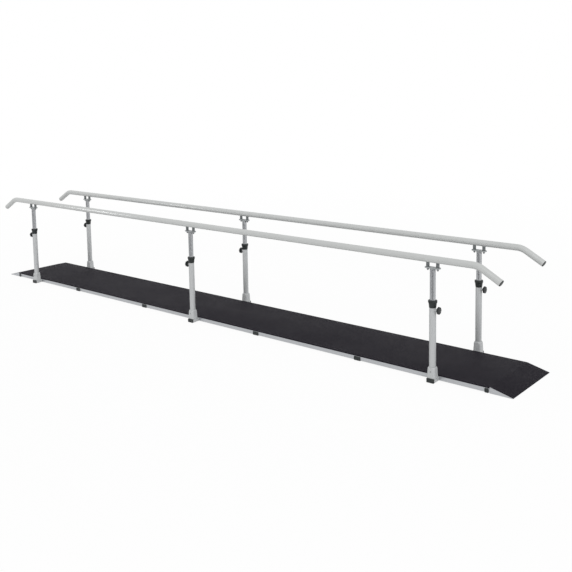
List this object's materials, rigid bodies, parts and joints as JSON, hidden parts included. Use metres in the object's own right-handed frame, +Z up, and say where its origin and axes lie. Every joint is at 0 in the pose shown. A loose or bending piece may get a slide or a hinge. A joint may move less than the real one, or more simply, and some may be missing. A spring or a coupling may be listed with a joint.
{
  "type": "walking parallel bars",
  "caption": "Low walkway with a ramp at each end, between handrails on telescopic posts whose height is set with clamp knobs.",
  "frame": {"origin": "on the floor, at the middle of the walkway", "axes": "+X along the walkway, towards the right end; +Y across it, from the near handrail to the far one; +Z up"},
  "size_m": [6.152, 0.792, 0.925],
  "materials": {
    "mat": "matt black, fine non-slip grain",
    "plywood": "sealed plywood",
    "anodised": "satin anodised",
    "silver_paint": "satin silver-grey powder coat",
    "rail_paint": "satin silver-grey powder coat",
    "black_plastic": "moulded, fine grain",
    "knob_plastic": "moulded, fine grain",
    "yoke_steel": "zinc plated",
    "chrome": "bright chrome plate",
    "nylon": "plain nylon"
  },
  "bodies": {
    "walkway": {"walkway_mat": "mat", "deck_board_left": "plywood", "deck_board_right": "plywood", "side_rail_near": "anodised", "side_rail_far": "anodised", "post_beam_left": "silver_paint", "post_beam_middle": "silver_paint", "post_beam_right": "silver_paint", "mid_bearer_left_1": "silver_paint", "mid_bearer_left_2": "silver_paint", "mid_bearer_right_1": "silver_paint", "mid_bearer_right_2": "silver_paint", "end_bearer_left": "silver_paint", "end_bearer_right": "silver_paint", "ramp_left": "anodised", "ramp_right": "anodised", "post_socket_near_left": "silver_paint", "post_socket_near_middle": "silver_paint", "post_socket_near_right": "silver_paint", "post_socket_far_left": "silver_paint", "post_socket_far_middle": "silver_paint", "post_socket_far_right": "silver_paint", "outer_post_near_left": "silver_paint", "outer_post_near_middle": "silver_paint", "outer_post_near_right": "silver_paint", "outer_post_far_left": "silver_paint", "outer_post_far_middle": "silver_paint", "outer_post_far_right": "silver_paint", "guide_bush_near_left": "black_plastic", "guide_bush_near_middle": "black_plastic", "guide_bush_near_right": "black_plastic", "guide_bush_far_left": "black_plastic", "guide_bush_far_middle": "black_plastic", "guide_bush_far_right": "black_plastic"},
    "near_bar": {"handrail_near": "rail_paint", "yoke_near_left": "yoke_steel", "yoke_near_middle": "yoke_steel", "yoke_near_right": "yoke_steel", "inner_post_near_left": "chrome", "inner_post_near_middle": "chrome", "inner_post_near_right": "chrome"},
    "far_bar": {"handrail_far": "rail_paint", "yoke_far_left": "yoke_steel", "yoke_far_middle": "yoke_steel", "yoke_far_right": "yoke_steel", "inner_post_far_left": "chrome", "inner_post_far_middle": "chrome", "inner_post_far_right": "chrome"},
    "near_left_pad": {"pressure_pad_near_left": "nylon"},
    "near_left_knob": {"clamp_knob_near_left": "knob_plastic"},
    "near_middle_pad": {"pressure_pad_near_middle": "nylon"},
    "near_middle_knob": {"clamp_knob_near_middle": "knob_plastic"},
    "near_right_pad": {"pressure_pad_near_right": "nylon"},
    "near_right_knob": {"clamp_knob_near_right": "knob_plastic"},
    "far_left_pad": {"pressure_pad_far_left": "nylon"},
    "far_left_knob": {"clamp_knob_far_left": "knob_plastic"},
    "far_middle_pad": {"pressure_pad_far_middle": "nylon"},
    "far_middle_knob": {"clamp_knob_far_middle": "knob_plastic"},
    "far_right_pad": {"pressure_pad_far_right": "nylon"},
    "far_right_knob": {"clamp_knob_far_right": "knob_plastic"}
  },
  "joints": [
    {"name": "near_bar_height", "type": "slide", "parent": "walkway", "child": "near_bar", "axis": [0, 0, 1], "range_m": [-0.2, 0.15]},
    {"name": "far_bar_height", "type": "slide", "parent": "walkway", "child": "far_bar", "axis": [0, 0, 1], "range_m": [-0.2, 0.15]},
    {"name": "near_left_screw_travel", "type": "slide", "parent": "walkway", "child": "near_left_pad", "axis": [-1, 0, 0], "range_m": [0, 0.003]},
    {"name": "near_left_knob_turn", "type": "hinge", "parent": "near_left_pad", "child": "near_left_knob", "pos_m": [-2.48, -0.359, 0.533], "axis": [-1, 0, 0], "range_deg": [0, 720]},
    {"name": "near_middle_screw_travel", "type": "slide", "parent": "walkway", "child": "near_middle_pad", "axis": [-1, 0, 0], "range_m": [0, 0.003]},
    {"name": "near_middle_knob_turn", "type": "hinge", "parent": "near_middle_pad", "child": "near_middle_knob", "pos_m": [0, -0.359, 0.533], "axis": [-1, 0, 0], "range_deg": [0, 720]},
    {"name": "near_right_screw_travel", "type": "slide", "parent": "walkway", "child": "near_right_pad", "axis": [1, 0, 0], "range_m": [0, 0.003]},
    {"name": "near_right_knob_turn", "type": "hinge", "parent": "near_right_pad", "child": "near_right_knob", "pos_m": [2.48, -0.359, 0.533], "axis": [1, 0, 0], "range_deg": [0, 720]},
    {"name": "far_left_screw_travel", "type": "slide", "parent": "walkway", "child": "far_left_pad", "axis": [-1, 0, 0], "range_m": [0, 0.003]},
    {"name": "far_left_knob_turn", "type": "hinge", "parent": "far_left_pad", "child": "far_left_knob", "pos_m": [-2.48, 0.359, 0.533], "axis": [-1, 0, 0], "range_deg": [0, 720]},
    {"name": "far_middle_screw_travel", "type": "slide", "parent": "walkway", "child": "far_middle_pad", "axis": [-1, 0, 0], "range_m": [0, 0.003]},
    {"name": "far_middle_knob_turn", "type": "hinge", "parent": "far_middle_pad", "child": "far_middle_knob", "pos_m": [0, 0.359, 0.533], "axis": [-1, 0, 0], "range_deg": [0, 720]},
    {"name": "far_right_screw_travel", "type": "slide", "parent": "walkway", "child": "far_right_pad", "axis": [1, 0, 0], "range_m": [0, 0.003]},
    {"name": "far_right_knob_turn", "type": "hinge", "parent": "far_right_pad", "child": "far_right_knob", "pos_m": [2.48, 0.359, 0.533], "axis": [1, 0, 0], "range_deg": [0, 720]}
  ],
  "couplings": [
    {"joint": "near_left_screw_travel", "follows": "near_left_knob_turn", "m_per_rad": 0.00023873},
    {"joint": "near_middle_screw_travel", "follows": "near_middle_knob_turn", "m_per_rad": 0.00023873},
    {"joint": "near_right_screw_travel", "follows": "near_right_knob_turn", "m_per_rad": 0.00023873},
    {"joint": "far_left_screw_travel", "follows": "far_left_knob_turn", "m_per_rad": 0.00023873},
    {"joint": "far_middle_screw_travel", "follows": "far_middle_knob_turn", "m_per_rad": 0.00023873},
    {"joint": "far_right_screw_travel", "follows": "far_right_knob_turn", "m_per_rad": 0.00023873}
  ]
}
